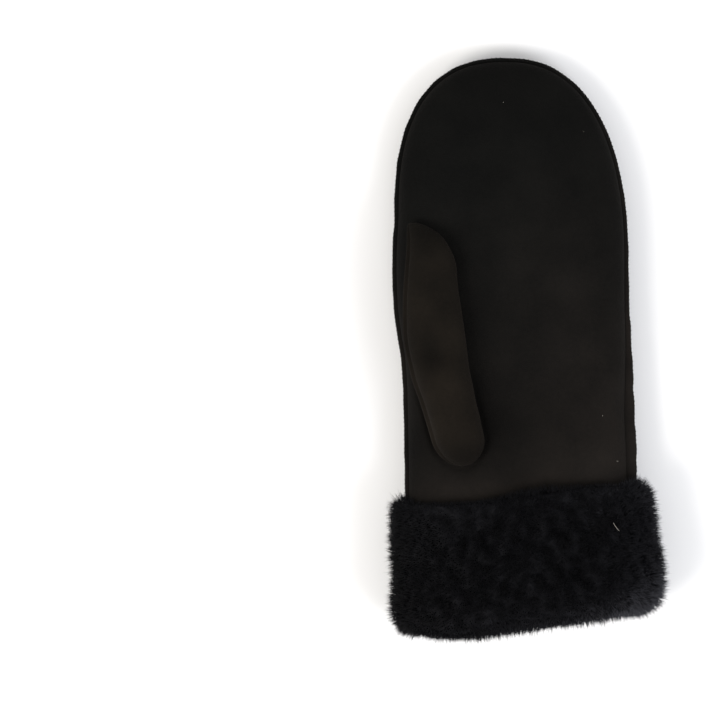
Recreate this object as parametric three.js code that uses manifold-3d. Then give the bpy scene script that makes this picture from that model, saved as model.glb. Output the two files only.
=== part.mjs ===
// A suede mitten for the left hand, with a set-in thumb and a turned-up fur cuff, lying on its back.
// Millimetres. +Y runs to the fingertips, +Z up from the surface it lies on, the thumb is on the -X side.
// The origin is on that surface, under the middle of the mitten's outline.
import * as THREE from "three";
import { mergeVertices } from "three/addons/utils/BufferGeometryUtils.js";
import Module from "manifold-3d";

const wasm = await Module();
wasm.setup();

// Driving dimensions of the hand part
const totalLength = 292; // fingertip to the fur at the wrist
const palmWidth = 119; // over the outer seam
const handThickness = 40; // palm to back, where the hand lies
const hideThickness = 2.4; // wall of the suede, napped side out
const seamReach = 2; // how far the outer seam stands out of the thumb side and the fingertip
const seamLayer = 1.2; // one hide's thickness in the outer seam
const pieceGap = 0.3; // between pieces that are sewn together

// Driving dimensions of the fur cuff
const cuffHeight = 71; // wrist to upper edge, pile included
const facePile = 10; // pile on the palm side and the back
const thumbSidePile = 9.4; // pile round the edge below the thumb
const littleSidePile = 12.6; // pile round the other edge, at its upper end
const cuffFlare = 5; // how much more that edge stands out at the wrist
const widestLine = 0.2; // where the cuff is widest, as a share of its height
const rimPile = 8; // pile past the hide's fold at the wrist
const innerPile = 4.5; // pile on the turned-in side
const innerPileReach = 46; // how far in it goes from the fold
const lockDepth = 1.7; // how far a lock of pile stands out of its neighbours
const partingDepth = 2.2; // groove where the two ends of the cuff strip are joined
const partingWidth = 3.5;
const partingInset = 6; // from the hand's side to that groove

// Driving dimensions of the thumb
const thumbLength = 123.2;
const thumbWidth = 31;
const thumbHeight = 18.5; // above the palm
const thumbWall = 2.2;
const thumbSink = 6.5; // how deep the thumb's base is set into the palm
const thumbLift = 0.8; // clearance of the free end over the palm
const thumbFollow = 0.5; // how far its sides follow the fall of the palm under them, of 1
const thumbLeanDeg = 9.1; // towards the side seam, from base to tip
const thumbFromCentre = 25.7; // base end, across from the hand's centre line
const thumbFromCuff = 12.7; // base end, up from the cuff's edge
const thumbHoleLength = 46;
const thumbHoleMargin = 6; // between the thumb's side and the hole in the palm
const ridgeHeight = 1.1; // sewn edge along the thumb's outer side

// Driving dimensions of the label
const labelLength = 33.5;
const labelHeight = 19.5;
const labelThickness = 1;
const labelCorner = 2;
const labelFromCuff = 12;
const labelOffCentre = 7;

// How finely the surfaces are cut into facets
const stations = 27;
const acrossSteps = 8; // from the seam to the middle of a panel
const sideCrowding = 1.8; // over 1, the mesh lines lie closer near the seam
const archStart = 0.56; // share of the stations that lie below the fingertip arch
const aroundCuff = 64;
const slantFade = 60; // above the cuff, where the mesh lines run straight again
const aroundThumb = 20;
const alongThumb = 20;

const suede = { color: 0x1b1816, roughness: 0.95, metalness: 0 };
const fur = { color: 0x0b0b0f, roughness: 1, metalness: 0 };
const label = { color: 0x1a1715, roughness: 0.85, metalness: 0 };

// The hand from the fold at the wrist (0) to the fingertip (1). Edges are shares of half the palm's
// width, out from the centre line; rim is the little finger side's seam as a share of the seam's reach;
// seam, palm and back are shares of the thickness: the seam's height, the palm's rise above it and the
// back's drop below it.
const handTable = [
  { along: 0.0, thumbEdge: 0.908, littleEdge: 0.992, rim: 1.3, seam: 0.68, palm: 0.38, back: 0.38 },
  { along: 0.12, thumbEdge: 0.918, littleEdge: 1.004, rim: 1.6, seam: 0.64, palm: 0.37, back: 0.38 },
  { along: 0.227, thumbEdge: 0.928, littleEdge: 1.013, rim: 2.4, seam: 0.56, palm: 0.39, back: 0.37 },
  { along: 0.297, thumbEdge: 0.933, littleEdge: 1.017, rim: 2.7, seam: 0.51, palm: 0.47, back: 0.36 },
  { along: 0.361, thumbEdge: 0.938, littleEdge: 1.002, rim: 2.6, seam: 0.475, palm: 0.505, back: 0.36 },
  { along: 0.425, thumbEdge: 0.948, littleEdge: 0.992, rim: 2.1, seam: 0.46, palm: 0.515, back: 0.405 },
  { along: 0.468, thumbEdge: 0.966, littleEdge: 0.982, rim: 1.7, seam: 0.45, palm: 0.515, back: 0.46 },
  { along: 0.511, thumbEdge: 0.998, littleEdge: 0.971, rim: 1.4, seam: 0.445, palm: 0.51, back: 0.5 },
  { along: 0.554, thumbEdge: 1.023, littleEdge: 0.96, rim: 1.25, seam: 0.44, palm: 0.505, back: 0.53 },
  { along: 0.64, thumbEdge: 1.034, littleEdge: 0.953, rim: 1.05, seam: 0.43, palm: 0.49, back: 0.54 },
  { along: 0.717, thumbEdge: 1.017, littleEdge: 0.951, rim: 1.0, seam: 0.41, palm: 0.475, back: 0.52 },
  { along: 0.87, thumbEdge: 1.017, littleEdge: 0.951, rim: 1.0, seam: 0.35, palm: 0.43, back: 0.47 },
  { along: 1.0, thumbEdge: 1.017, littleEdge: 0.951, rim: 1.0, seam: 0.28, palm: 0.39, back: 0.42 },
];
// Each side of the fingertip is a quarter of a rounded arch that springs from the straight side.
const arches = {
  thumb: { sign: -1, column: "thumbEdge", spring: 0.717, roundness: 2.5 },
  little: { sign: 1, column: "littleEdge", spring: 0.635, roundness: 2.3 },
};
const apexOffset = -0.067; // the fingertip's middle, as a share of half the palm's width
const crossRoundness = 2.7; // of the hand's cross-section, across
const domeRoundness = 2.1; // of the hand's cross-section, upwards
const tipSpring = 0.72; // where the palm starts to fall towards the fingertip
const tipRoundness = 2.3;
const spineEnd = 0.89; // where the mesh lines of the fingertip meet

// The cuff's two edges from the thumb side (-1) to the little finger side (1): how far up from the
// lowest fur each one lies, as a share of the cuff's height.
const cuffEdges = [
  { across: -1.0, wrist: 0.125, hand: 1.02 },
  { across: -0.85, wrist: 0.042, hand: 1.005 },
  { across: -0.5, wrist: 0.004, hand: 1.007 },
  { across: 0.0, wrist: 0.064, hand: 1.063 },
  { across: 0.45, wrist: 0.13, hand: 1.125 },
  { across: 0.8, wrist: 0.195, hand: 1.12 },
  { across: 1.0, wrist: 0.235, hand: 1.08 },
];
// The cuff's outer profile from its upper edge to the fold: line is the share of the way from the wrist
// edge to the hand edge, pile the share of the pile's depth, lock the share of a lock's depth.
const furProfile = [
  { line: 0.965, pile: 0.06, lock: 0 },
  { line: 0.995, pile: 0.3, lock: 0.3 },
  { line: 0.985, pile: 0.7, lock: 0.8 },
  { line: 0.94, pile: 0.93, lock: 1 },
  { line: 0.85, pile: 1.0, lock: 1 },
  { line: 0.73, pile: 1.0, lock: 1 },
  { line: 0.61, pile: 0.99, lock: 1 },
  { line: 0.49, pile: 0.99, lock: 1 },
  { line: 0.37, pile: 1.0, lock: 1 },
  { line: 0.25, pile: 1.0, lock: 1 },
  { line: 0.14, pile: 0.98, lock: 1 },
  { line: 0.06, pile: 0.86, lock: 0.8 },
  { line: 0.015, pile: 0.5, lock: 0.5 },
  { line: 0.0, pile: 0.05, lock: 0.3 },
];
// The turned-in side from the fold inwards: line as above, pile the share of the inner pile's depth.
const innerProfile = [
  { line: 0.02, pile: 0.6 },
  { line: 0.08, pile: 1.0 },
];

// The thumb from its base (0) to its tip (1): side is the centre line's bow towards the side seam as a
// share of the length, width and height are shares of the thumb's own, sink of how deep it is set.
const thumbTable = [
  { along: 0.0, side: 0.0, width: 0.79, height: 0.9, sink: 1.0 },
  { along: 0.12, side: 0.008, width: 0.811, height: 0.99, sink: 1.0 },
  { along: 0.25, side: 0.0215, width: 0.841, height: 1.0, sink: 1.0 },
  { along: 0.39, side: 0.036, width: 0.91, height: 0.95, sink: 0.85 },
  { along: 0.54, side: 0.038, width: 0.955, height: 0.88, sink: 0.35 },
  { along: 0.66, side: 0.0285, width: 0.894, height: 0.84, sink: 0.05 },
  { along: 0.8, side: 0.011, width: 0.809, height: 0.76, sink: 0.0 },
  { along: 0.92, side: 0.0015, width: 0.716, height: 0.64, sink: 0.0 },
  { along: 1.0, side: 0.012, width: 0.635, height: 0.54, sink: 0.0 },
];
const thumbBaseRound = 0.115; // length of the rounded ends, as shares of the thumb's length
const thumbTipRound = 0.21;
const thumbTipSkew = 0.67; // how far the rounded tip keeps to the outer side, of half its width
const thumbRoundness = 2.3; // of the thumb's cross-section
// Dents where the empty thumb has sagged, as shares of its length, half width and height.
const thumbDents = [
  { along: 0.455, across: -0.3, depth: 0.11, reach: 0.055 },
  { along: 0.63, across: -0.4, depth: 0.05, reach: 0.05 },
];

// Sizes and places that follow from those above
const halfPalm = palmWidth / 2;
const trimmedSeam = pieceGap; // how far the seam stands out where the cuff covers it
const slotGap = trimmedSeam + pieceGap;
const tipY = totalLength / 2;
const wristY = -totalLength / 2;
const thumbReach = halfPalm * handTable[0].thumbEdge - seamReach + slotGap + thumbSidePile;
const littleHide = halfPalm * handTable[0].littleEdge - seamReach * handTable[0].rim;
const littleReach = littleHide + slotGap + littleSidePile + cuffFlare * (1 - widestLine);
const centreX = (thumbReach - littleReach) / 2;
const halfCuff = (thumbReach + littleReach) / 2;
const foldY = cuffEdgeY("wrist", 0) + rimPile;
const hideTipY = tipY - seamReach;
const handLength = tipY - foldY;
const cuffTopY = cuffEdgeY("hand", 0);
const apexX = centreX + apexOffset * halfPalm;
const seamHalf = pieceGap / 2 + seamLayer;

// Smooth value of one column of a table, at a place among its rows.
function tableValue(rows, key, column, at) {
  const last = rows.length - 1;
  const place = Math.min(Math.max(at, rows[0][key]), rows[last][key]);
  let i = 0;
  while (i < last - 1 && place > rows[i + 1][key]) i += 1;
  const slope = (j) => {
    const before = rows[Math.max(j - 1, 0)];
    const after = rows[Math.min(j + 1, last)];
    return (after[column] - before[column]) / (after[key] - before[key]);
  };
  const [p, q] = [rows[i], rows[i + 1]];
  const step = q[key] - p[key];
  const f = (place - p[key]) / step;
  return (
    p[column] * (1 + 2 * f) * (1 - f) ** 2 +
    slope(i) * step * f * (1 - f) ** 2 +
    q[column] * f * f * (3 - 2 * f) +
    slope(i + 1) * step * f * f * (f - 1)
  );
}

function clampShare(value) {
  return Math.min(Math.max(value, 0), 1);
}

function lerp(a, b, share) {
  return a + (b - a) * share;
}

// Height along the hand of the fur's lower ("wrist") or upper ("hand") edge.
function cuffEdgeY(edge, x) {
  return wristY + cuffHeight * tableValue(cuffEdges, "across", edge, x / halfCuff);
}

function handValue(column, y) {
  return tableValue(handTable, "along", column, (y - foldY) / handLength);
}

// How far the outer seam stands out of a side at height y.
function rimWidth(arch, y) {
  return seamReach * (arch.sign > 0 ? handValue("rim", y) : 1);
}

// The hide's side at height y, inside the outer seam and moved further inwards by an inset.
function sideX(arch, y, inset) {
  const springY = foldY + arch.spring * handLength;
  const straightY = Math.min(y, springY);
  const out = halfPalm * handValue(arch.column, straightY) - rimWidth(arch, straightY) - inset;
  const straightX = centreX + arch.sign * out;
  if (y <= springY) return straightX;
  const rise = clampShare((y - springY) / (hideTipY - inset - springY));
  return apexX + (straightX - apexX) * (1 - rise ** arch.roundness) ** (1 / arch.roundness);
}

// The hand's section at height y: its middle, half width, seam height, and the palm's and back's depths.
function handSection(y, inset) {
  const left = sideX(arches.thumb, y, inset);
  const right = sideX(arches.little, y, inset);
  const springY = foldY + tipSpring * handLength;
  const rise = clampShare((y - springY) / (hideTipY - inset - springY));
  const fall = (1 - rise ** tipRoundness) ** (1 / domeRoundness);
  return {
    middle: (left + right) / 2,
    half: (right - left) / 2,
    seam: handThickness * handValue("seam", y),
    palm: handThickness * handValue("palm", y) * fall,
    back: handThickness * handValue("back", y) * fall,
  };
}

// 0 at the seam and 1 in the middle, across a section.
function domeShare(section, x) {
  if (section.half < 1e-6) return 0;
  const across = clampShare(Math.abs(x - section.middle) / section.half);
  return (1 - across ** crossRoundness) ** (1 / domeRoundness);
}

function palmOuterZ(x, y) {
  const section = handSection(y, 0);
  return section.seam + seamHalf + section.palm * domeShare(section, x);
}

function palmInnerZ(x, y) {
  const section = handSection(y, hideThickness);
  const rise = Math.max(section.palm + seamLayer - hideThickness, 0);
  return section.seam + pieceGap / 2 + rise * domeShare(section, x);
}

// The back is flat where the mitten's weight presses it on the surface.
function backOuterZ(x, y) {
  const section = handSection(y, 0);
  return Math.max(section.seam - seamHalf - section.back * domeShare(section, x), 0);
}

function backInnerZ(x, y) {
  const section = handSection(y, hideThickness);
  const drop = Math.max(section.back + seamLayer - hideThickness, 0);
  return Math.max(section.seam - pieceGap / 2 - drop * domeShare(section, x), hideThickness);
}

// The fold at the wrist, where the hide ends, follows the slant of the fur.
function foldLine(x) {
  return cuffEdgeY("wrist", x) + rimPile;
}

// Mesh lines follow the cuff's slanting edges, and straighten out above it.
function slantedY(x, y) {
  const inCuff = (y - foldY) / (cuffTopY - foldY);
  if (inCuff <= 1) return lerp(foldLine(x), cuffEdgeY("hand", x), inCuff);
  const faded = clampShare((y - cuffTopY) / slantFade);
  return y + (cuffEdgeY("hand", x) - cuffTopY) * (1 - faded);
}

// The outer seam stands out full width above the cuff, and is trimmed narrow inside it.
function seamWidth(arch, x, y) {
  const above = y - cuffEdgeY("hand", x);
  return lerp(trimmedSeam, rimWidth(arch, y), clampShare(above / (2 * seamReach)));
}

// Adds the triangles of a surface through rows of points, each row a loop if looped. With tufted, every
// second point is the peak of a four-sided tuft.
function gridTriangles(rows, looped, flipped, triangles, tufted = false) {
  for (let i = 0; i + 1 < rows.length; i += 1) {
    const count = rows[i].length;
    for (let j = 0; j < (looped ? count : count - 1); j += 1) {
      const k = (j + 1) % count;
      let corners = [rows[i][j], rows[i][k], rows[i + 1][k], rows[i + 1][j]];
      if (tufted && (i + j) % 2 === 0) corners = [...corners.slice(1), corners[0]];
      const [a, b, c, d] = corners;
      triangles.push(...(flipped ? [a, c, b, a, d, c] : [a, b, c, a, c, d]));
    }
  }
}

function closedGeometry(triangles) {
  const near = 1e-4;
  const kept = [];
  for (let i = 0; i < triangles.length; i += 3) {
    const [a, b, c] = triangles.slice(i, i + 3);
    const thin = a.distanceTo(b) < near || b.distanceTo(c) < near || a.distanceTo(c) < near;
    if (!thin) kept.push(a, b, c);
  }
  const soup = new THREE.BufferGeometry().setFromPoints(kept);
  return mergeVertices(soup, 1e-3);
}

// A wall between an outer and an inner skin, given as rows of the same size. With a closed end, the two
// halves of the last row meet, as they do at a fingertip.
function wallGeometry(outerRows, innerRows, closedEnd) {
  const triangles = [];
  gridTriangles(outerRows, false, false, triangles);
  gridTriangles(innerRows, false, true, triangles);
  const edgeOf = (rows, pick) => rows.map(pick);
  const first = (row) => row[0];
  const last = (row) => row[row.length - 1];
  gridTriangles([edgeOf(innerRows, first), edgeOf(outerRows, first)], false, true, triangles);
  gridTriangles([edgeOf(innerRows, last), edgeOf(outerRows, last)], false, false, triangles);
  gridTriangles([innerRows[0], outerRows[0]], false, false, triangles);
  if (!closedEnd) gridTriangles([last(innerRows), last(outerRows)], false, true, triangles);
  return closedGeometry(triangles);
}

function solidOf(geometry) {
  const vertProperties = geometry.getAttribute("position").array;
  const triVerts = new Uint32Array(geometry.index.array);
  return new wasm.Manifold(new wasm.Mesh({ numProp: 3, vertProperties, triVerts }));
}

function geometryOf(solid) {
  const mesh = solid.getMesh();
  const geometry = new THREE.BufferGeometry();
  geometry.setAttribute("position", new THREE.BufferAttribute(mesh.vertProperties, 3));
  geometry.setIndex(new THREE.BufferAttribute(mesh.triVerts, 1));
  return geometry;
}

// One mesh line over the hand at a station: points from the thumb-side seam over the middle to the
// other seam. Below the fingertip arch the lines are straight across, and in it they fan out.
function stationLine(station, inset, surfaceZ) {
  const straight = clampShare(station / archStart);
  const turn = (clampShare((station - archStart) / (1 - archStart)) * Math.PI) / 2;
  const springOf = (arch) => foldY + arch.spring * handLength;
  const seamPoint = (arch) => {
    const springY = springOf(arch);
    const y =
      turn > 0
        ? springY + (hideTipY - inset - springY) * Math.sin(turn) ** (2 / arch.roundness)
        : lerp(foldY, springY, straight);
    return new THREE.Vector2(sideX(arch, y, inset), y);
  };
  const [left, right] = [seamPoint(arches.thumb), seamPoint(arches.little)];
  const lowSpring = (springOf(arches.thumb) + springOf(arches.little)) / 2;
  const spineY =
    turn > 0
      ? lerp(lowSpring, foldY + spineEnd * handLength, Math.sin(turn))
      : lerp(foldY, lowSpring, straight);
  const spineX = handSection(spineY, inset).middle;
  const spine = new THREE.Vector2(spineX, spineY);
  const points = [];
  for (let k = -acrossSteps; k <= acrossSteps; k += 1) {
    const [side, arch] = k < 0 ? [left, arches.thumb] : [right, arches.little];
    const share = (1 - Math.abs(k) / acrossSteps) ** sideCrowding;
    const flat = side.clone().lerp(spine, share);
    const y = slantedY(flat.x, flat.y);
    const x = turn > 0 ? flat.x : lerp(sideX(arch, y, inset), spine.x, share);
    points.push(new THREE.Vector3(x, y, surfaceZ(x, y, share === 0)));
  }
  return points;
}

// The edge of the outer seam beside the end of a mesh line, flat.
function seamEdge(arch, end, inner) {
  const out = new THREE.Vector2(end.x - inner.x, end.y - inner.y).normalize();
  return new THREE.Vector2(end.x, end.y).addScaledVector(out, seamWidth(arch, end.x, end.y));
}

// A panel of the hand: dir is 1 for the palm and -1 for the back.
function panelRows(dir) {
  const [outerZ, innerZ] = dir > 0 ? [palmOuterZ, palmInnerZ] : [backOuterZ, backInnerZ];
  const rows = { outer: [], inner: [] };
  for (let i = 0; i < stations; i += 1) {
    const station = i / (stations - 1);
    const seamAt = (y) => handThickness * handValue("seam", y);
    const outer = stationLine(station, 0, (x, y, atSeam) =>
      atSeam ? seamAt(y) + dir * seamHalf : outerZ(x, y),
    );
    const inner = stationLine(station, hideThickness, (x, y, atSeam) =>
      atSeam ? seamAt(y) + (dir * pieceGap) / 2 : innerZ(x, y),
    );
    const count = outer.length;
    const edges = [
      seamEdge(arches.thumb, outer[0], outer[3]),
      seamEdge(arches.little, outer[count - 1], outer[count - 4]),
    ];
    const edgeAt = (edge, z) => new THREE.Vector3(edge.x, edge.y, z);
    const levelOf = (edge, height) => seamAt(edge.y) + dir * height;
    rows.outer.push([
      edgeAt(edges[0], levelOf(edges[0], seamHalf)),
      ...outer,
      edgeAt(edges[1], levelOf(edges[1], seamHalf)),
    ]);
    rows.inner.push([
      edgeAt(edges[0], levelOf(edges[0], pieceGap / 2)),
      ...inner,
      edgeAt(edges[1], levelOf(edges[1], pieceGap / 2)),
    ]);
  }
  return rows;
}

// The thumb's centre line and axes on the palm. across grows towards the hand's middle.
const thumbLean = THREE.MathUtils.degToRad(thumbLeanDeg);
const thumbBase = new THREE.Vector2(centreX - thumbFromCentre, cuffTopY + thumbFromCuff);
const thumbAlong = new THREE.Vector2(-Math.sin(thumbLean), Math.cos(thumbLean));
const thumbAcross = new THREE.Vector2(Math.cos(thumbLean), Math.sin(thumbLean));

function thumbPlan(along, across) {
  const bow = -tableValue(thumbTable, "along", "side", along) * thumbLength;
  return thumbBase
    .clone()
    .addScaledVector(thumbAlong, along * thumbLength)
    .addScaledVector(thumbAcross, bow + across);
}

function thumbValue(column, along) {
  return tableValue(thumbTable, "along", column, along);
}

// A quarter round: 0 at an end of the thumb, 1 from the given share of its length on.
function endRound(fromEnd, roundShare) {
  return Math.sqrt(1 - (1 - clampShare(fromEnd / roundShare)) ** 2);
}

// Closed cross-section loops of the thumb, moved inwards by an inset.
function thumbLoops(inset) {
  const endShare = inset / thumbLength;
  const loops = [];
  for (let i = 0; i <= alongThumb; i += 1) {
    const even = (1 - Math.cos((i / alongThumb) * Math.PI)) / 2;
    const share = lerp(i / alongThumb, even, 0.75);
    const along = lerp(endShare, 1 - endShare, share);
    const tipRound = endRound(1 - share, thumbTipRound);
    const round = endRound(share, thumbBaseRound) * tipRound;
    const fullHalf = (thumbWidth / 2) * thumbValue("width", along);
    const half = Math.max(fullHalf - inset, 0) * round;
    const skew = -thumbTipSkew * fullHalf * (1 - tipRound);
    const fullRise = (thumbHeight * thumbValue("height", along)) / 2;
    const rise = Math.max(fullRise - inset, 0) * round;
    const sink = thumbSink * thumbValue("sink", along);
    const middle = thumbPlan(along, skew);
    const loop = [];
    for (let j = 0; j < aroundThumb; j += 1) {
      const turn = (j / aroundThumb) * 2 * Math.PI;
      const [c, s] = [Math.cos(turn), Math.sin(turn)];
      const power = 2 / thumbRoundness;
      const across = half * Math.sign(c) * Math.abs(c) ** power;
      const onRidge = j === aroundThumb / 2 && inset === 0;
      const ridge = onRidge ? -ridgeHeight * round : 0;
      const plan = thumbPlan(along, skew + across + ridge);
      let height = fullRise + rise * Math.sign(s) * Math.abs(s) ** power;
      if (s > 0) {
        for (const dent of thumbDents) {
          const far = Math.hypot(
            (along - dent.along) / dent.reach,
            (across / (thumbWidth / 2) - dent.across) / 0.6,
          );
          height -= thumbHeight * dent.depth * Math.exp(-(far ** 2)) * s;
        }
      }
      const stretched = fullRise + (height - fullRise) * (1 + sink / (2 * fullRise));
      const under = lerp(palmOuterZ(middle.x, middle.y), palmOuterZ(plan.x, plan.y), thumbFollow);
      const z = under + stretched - sink / 2 + thumbLift;
      loop.push(new THREE.Vector3(plan.x, plan.y, z));
    }
    loops.push(loop);
  }
  return loops;
}

function tubeGeometry(loops) {
  const triangles = [];
  gridTriangles(loops, true, true, triangles);
  return closedGeometry(triangles);
}

// Everything under the palm's face, raised by a gap: what the thumb's base is trimmed to.
function belowPalm(outerRows) {
  const under = -handThickness;
  const raised = outerRows.map((row) =>
    row.slice(1, -1).map((p) => new THREE.Vector3(p.x, p.y, p.z + pieceGap)),
  );
  const floor = raised.map((row) => row.map((p) => new THREE.Vector3(p.x, p.y, under)));
  return solidOf(wallGeometry(raised, floor, true));
}

// The opening in the palm that the thumb is sewn round.
function thumbHole() {
  const shape = new THREE.Shape();
  const half = thumbWidth / 2 - thumbHoleMargin;
  const straight = thumbHoleLength / 2 - half;
  shape.absarc(0, straight, half, 0, Math.PI, false);
  shape.absarc(0, -straight, half, Math.PI, 2 * Math.PI, false);
  shape.closePath();
  const depth = 2 * handThickness;
  const geometry = new THREE.ExtrudeGeometry(shape, { depth, bevelEnabled: false, curveSegments: 8 });
  const along = (thumbHoleMargin + thumbHoleLength / 2) / thumbLength;
  const middle = thumbPlan(along, 0);
  const ahead = thumbPlan(along + 0.1, 0);
  geometry.rotateZ(Math.atan2(ahead.y - middle.y, ahead.x - middle.x) - Math.PI / 2);
  geometry.translate(middle.x, middle.y, handThickness * handValue("seam", middle.y));
  geometry.deleteAttribute("normal");
  geometry.deleteAttribute("uv");
  return solidOf(mergeVertices(geometry, 1e-3));
}

// Always the same number from 0 to 1 for a lock's row and place.
function lockChance(row, place) {
  const wave = Math.sin(row * 12.9898 + place * 78.233) * 43758.5453;
  return wave - Math.floor(wave);
}

// A point round the wrist at an angle (0 at the little finger side, a quarter turn at the palm) and a
// height along the hand given as a function of x, wide of the hand's section by out, taller by swell.
function roundPoint(angle, yOf, lift, out, swell) {
  const [c, s] = [Math.cos(angle), Math.sin(angle)];
  const across = Math.sign(c) * Math.abs(c) ** (2 / crossRoundness);
  const rise = Math.abs(s) ** (2 / domeRoundness);
  const section = handSection(yOf(centreX + across * halfPalm), 0);
  const x = section.middle + across * (section.half + out);
  const up = section.seam + lift + rise * (section.palm + swell);
  const down = section.seam - lift - rise * (section.back + swell);
  return new THREE.Vector3(x, yOf(x), s >= 0 ? up : Math.max(down, 0));
}

// Outside the hide and inside it, at a distance from its surface.
function outsidePoint(angle, yOf, distance) {
  return roundPoint(angle, yOf, seamHalf, distance, distance);
}

function insidePoint(angle, yOf, distance) {
  const inset = hideThickness + distance;
  return roundPoint(angle, yOf, pieceGap / 2, -inset, seamLayer - inset);
}

function pileDepth(angle, line) {
  const c = Math.cos(angle);
  const flare = cuffFlare * (1 - line);
  const sidePile = c > 0 ? littleSidePile + flare : thumbSidePile;
  const side = Math.abs(c) ** 1.6;
  const sideX = centreX + halfPalm * Math.sign(c) * Math.abs(c) ** (2 / crossRoundness);
  const partingX = centreX + halfPalm - partingInset;
  const parted = Math.sin(angle) > 0 ? Math.exp(-(((sideX - partingX) / partingWidth) ** 2)) : 0;
  return lerp(facePile, sidePile, side) - partingDepth * parted;
}

// Angles round the wrist that divide the pile's face into equal lengths, set half a step off the sides.
function evenAngles(count) {
  const samples = 720;
  const midLine = (x) => lerp(cuffEdgeY("wrist", x), cuffEdgeY("hand", x), 0.5);
  const angleAt = (i) => (i / samples) * 2 * Math.PI;
  const facePoint = (i) => outsidePoint(angleAt(i), midLine, facePile);
  const lengths = [0];
  for (let i = 1; i <= samples; i += 1) {
    lengths.push(lengths[i - 1] + facePoint(i).distanceTo(facePoint(i - 1)));
  }
  const angles = [];
  for (let place = 0; place < count; place += 1) {
    const wanted = ((place + 0.5) / count) * lengths[samples];
    const i = lengths.findIndex((length) => length >= wanted);
    angles.push(angleAt(i - 1 + (wanted - lengths[i - 1]) / (lengths[i] - lengths[i - 1])));
  }
  return angles;
}

function cuffGeometry() {
  const lineY = (line) => (x) => lerp(cuffEdgeY("wrist", x), cuffEdgeY("hand", x), line);
  const clearOfFold = (x) => foldLine(x) - pieceGap;
  const innerLine = (x) => foldLine(x) + innerPileReach;
  const outerRow = ({ line, pile, lock }, row) => (angle, place) => {
    const odd = (row + place) % 2 === 0 ? 1 : -0.35;
    const stand = lockDepth * lock * odd * lerp(0.6, 1, lockChance(row, place));
    return outsidePoint(angle, lineY(line), slotGap + pile * pileDepth(angle, line) + stand);
  };
  const innerRow = (yOf, pile) => (angle) => insidePoint(angle, yOf, slotGap + pile * innerPile);
  const profile = [
    ...furProfile.map(outerRow),
    ...innerProfile.map(({ line, pile }) => innerRow(lineY(line), pile)),
    innerRow((x) => lerp(foldLine(x), innerLine(x), 0.5), 1),
    innerRow(innerLine, 0.9),
    innerRow(innerLine, 0),
    innerRow((x) => lerp(foldLine(x), innerLine(x), 0.5), 0),
    innerRow(clearOfFold, 0),
    (angle) => outsidePoint(angle, clearOfFold, slotGap),
    (angle) => outsidePoint(angle, lineY(0.5), slotGap),
  ];
  const rings = evenAngles(aroundCuff).map((angle, place) =>
    profile.map((pointAt) => pointAt(angle, place)),
  );
  const triangles = [];
  gridTriangles([...rings, rings[0]], true, true, triangles, true);
  return closedGeometry(triangles);
}

// The label lies on the back, bare, with rounded corners.
function labelGeometry() {
  const [columns, lines] = [8, 6];
  const middleX = centreX + labelOffCentre;
  const middleY = cuffTopY + labelFromCuff + labelHeight / 2;
  const rowsAt = (drop) => {
    const rows = [];
    for (let i = 0; i <= lines; i += 1) {
      const row = [];
      for (let j = 0; j <= columns; j += 1) {
        const [u, v] = [(2 * j) / columns - 1, (2 * i) / lines - 1];
        const corner = Math.abs(u) === 1 && Math.abs(v) === 1 ? labelCorner * (1 - Math.SQRT1_2) : 0;
        const x = middleX + Math.sign(u) * ((Math.abs(u) * labelLength) / 2 - corner);
        const y = middleY + Math.sign(v) * ((Math.abs(v) * labelHeight) / 2 - corner);
        row.push(new THREE.Vector3(x, y, backOuterZ(x, y) - pieceGap - drop));
      }
      rows.push(row);
    }
    return rows;
  };
  return wallGeometry(rowsAt(0), rowsAt(labelThickness), false);
}

function namedMesh(name, geometry, finish) {
  const mesh = new THREE.Mesh(geometry, new THREE.MeshStandardMaterial(finish));
  mesh.name = name;
  return mesh;
}

const palmRows = panelRows(1);
const backRows = panelRows(-1);
const palmSolid = solidOf(wallGeometry(palmRows.outer, palmRows.inner, true)).subtract(thumbHole());
const backGeometry = wallGeometry(backRows.inner, backRows.outer, true);
const thumbSolid = solidOf(tubeGeometry(thumbLoops(0)))
  .subtract(solidOf(tubeGeometry(thumbLoops(thumbWall))))
  .subtract(belowPalm(palmRows.outer));

const mitten = new THREE.Group();
mitten.add(namedMesh("palm_panel", geometryOf(palmSolid), suede));
mitten.add(namedMesh("back_panel", backGeometry, suede));
mitten.add(namedMesh("thumb", geometryOf(thumbSolid), suede));
mitten.add(namedMesh("fur_cuff", cuffGeometry(), fur));
mitten.add(namedMesh("label_patch", labelGeometry(), label));

export default mitten;
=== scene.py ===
import bmesh
import bpy
import numpy as np
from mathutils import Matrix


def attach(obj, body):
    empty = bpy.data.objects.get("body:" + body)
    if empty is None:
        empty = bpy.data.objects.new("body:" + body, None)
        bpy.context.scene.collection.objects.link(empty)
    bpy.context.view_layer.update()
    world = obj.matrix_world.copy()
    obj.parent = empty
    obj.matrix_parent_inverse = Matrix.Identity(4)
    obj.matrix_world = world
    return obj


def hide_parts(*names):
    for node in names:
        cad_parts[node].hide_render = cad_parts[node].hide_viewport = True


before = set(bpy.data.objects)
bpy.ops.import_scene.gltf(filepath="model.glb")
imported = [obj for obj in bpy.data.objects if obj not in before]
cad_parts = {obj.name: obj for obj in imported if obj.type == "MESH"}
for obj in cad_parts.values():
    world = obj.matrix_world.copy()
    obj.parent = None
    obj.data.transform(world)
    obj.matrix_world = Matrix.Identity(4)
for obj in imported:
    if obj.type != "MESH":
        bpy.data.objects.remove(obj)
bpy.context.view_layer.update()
print("frame loaded")

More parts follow.
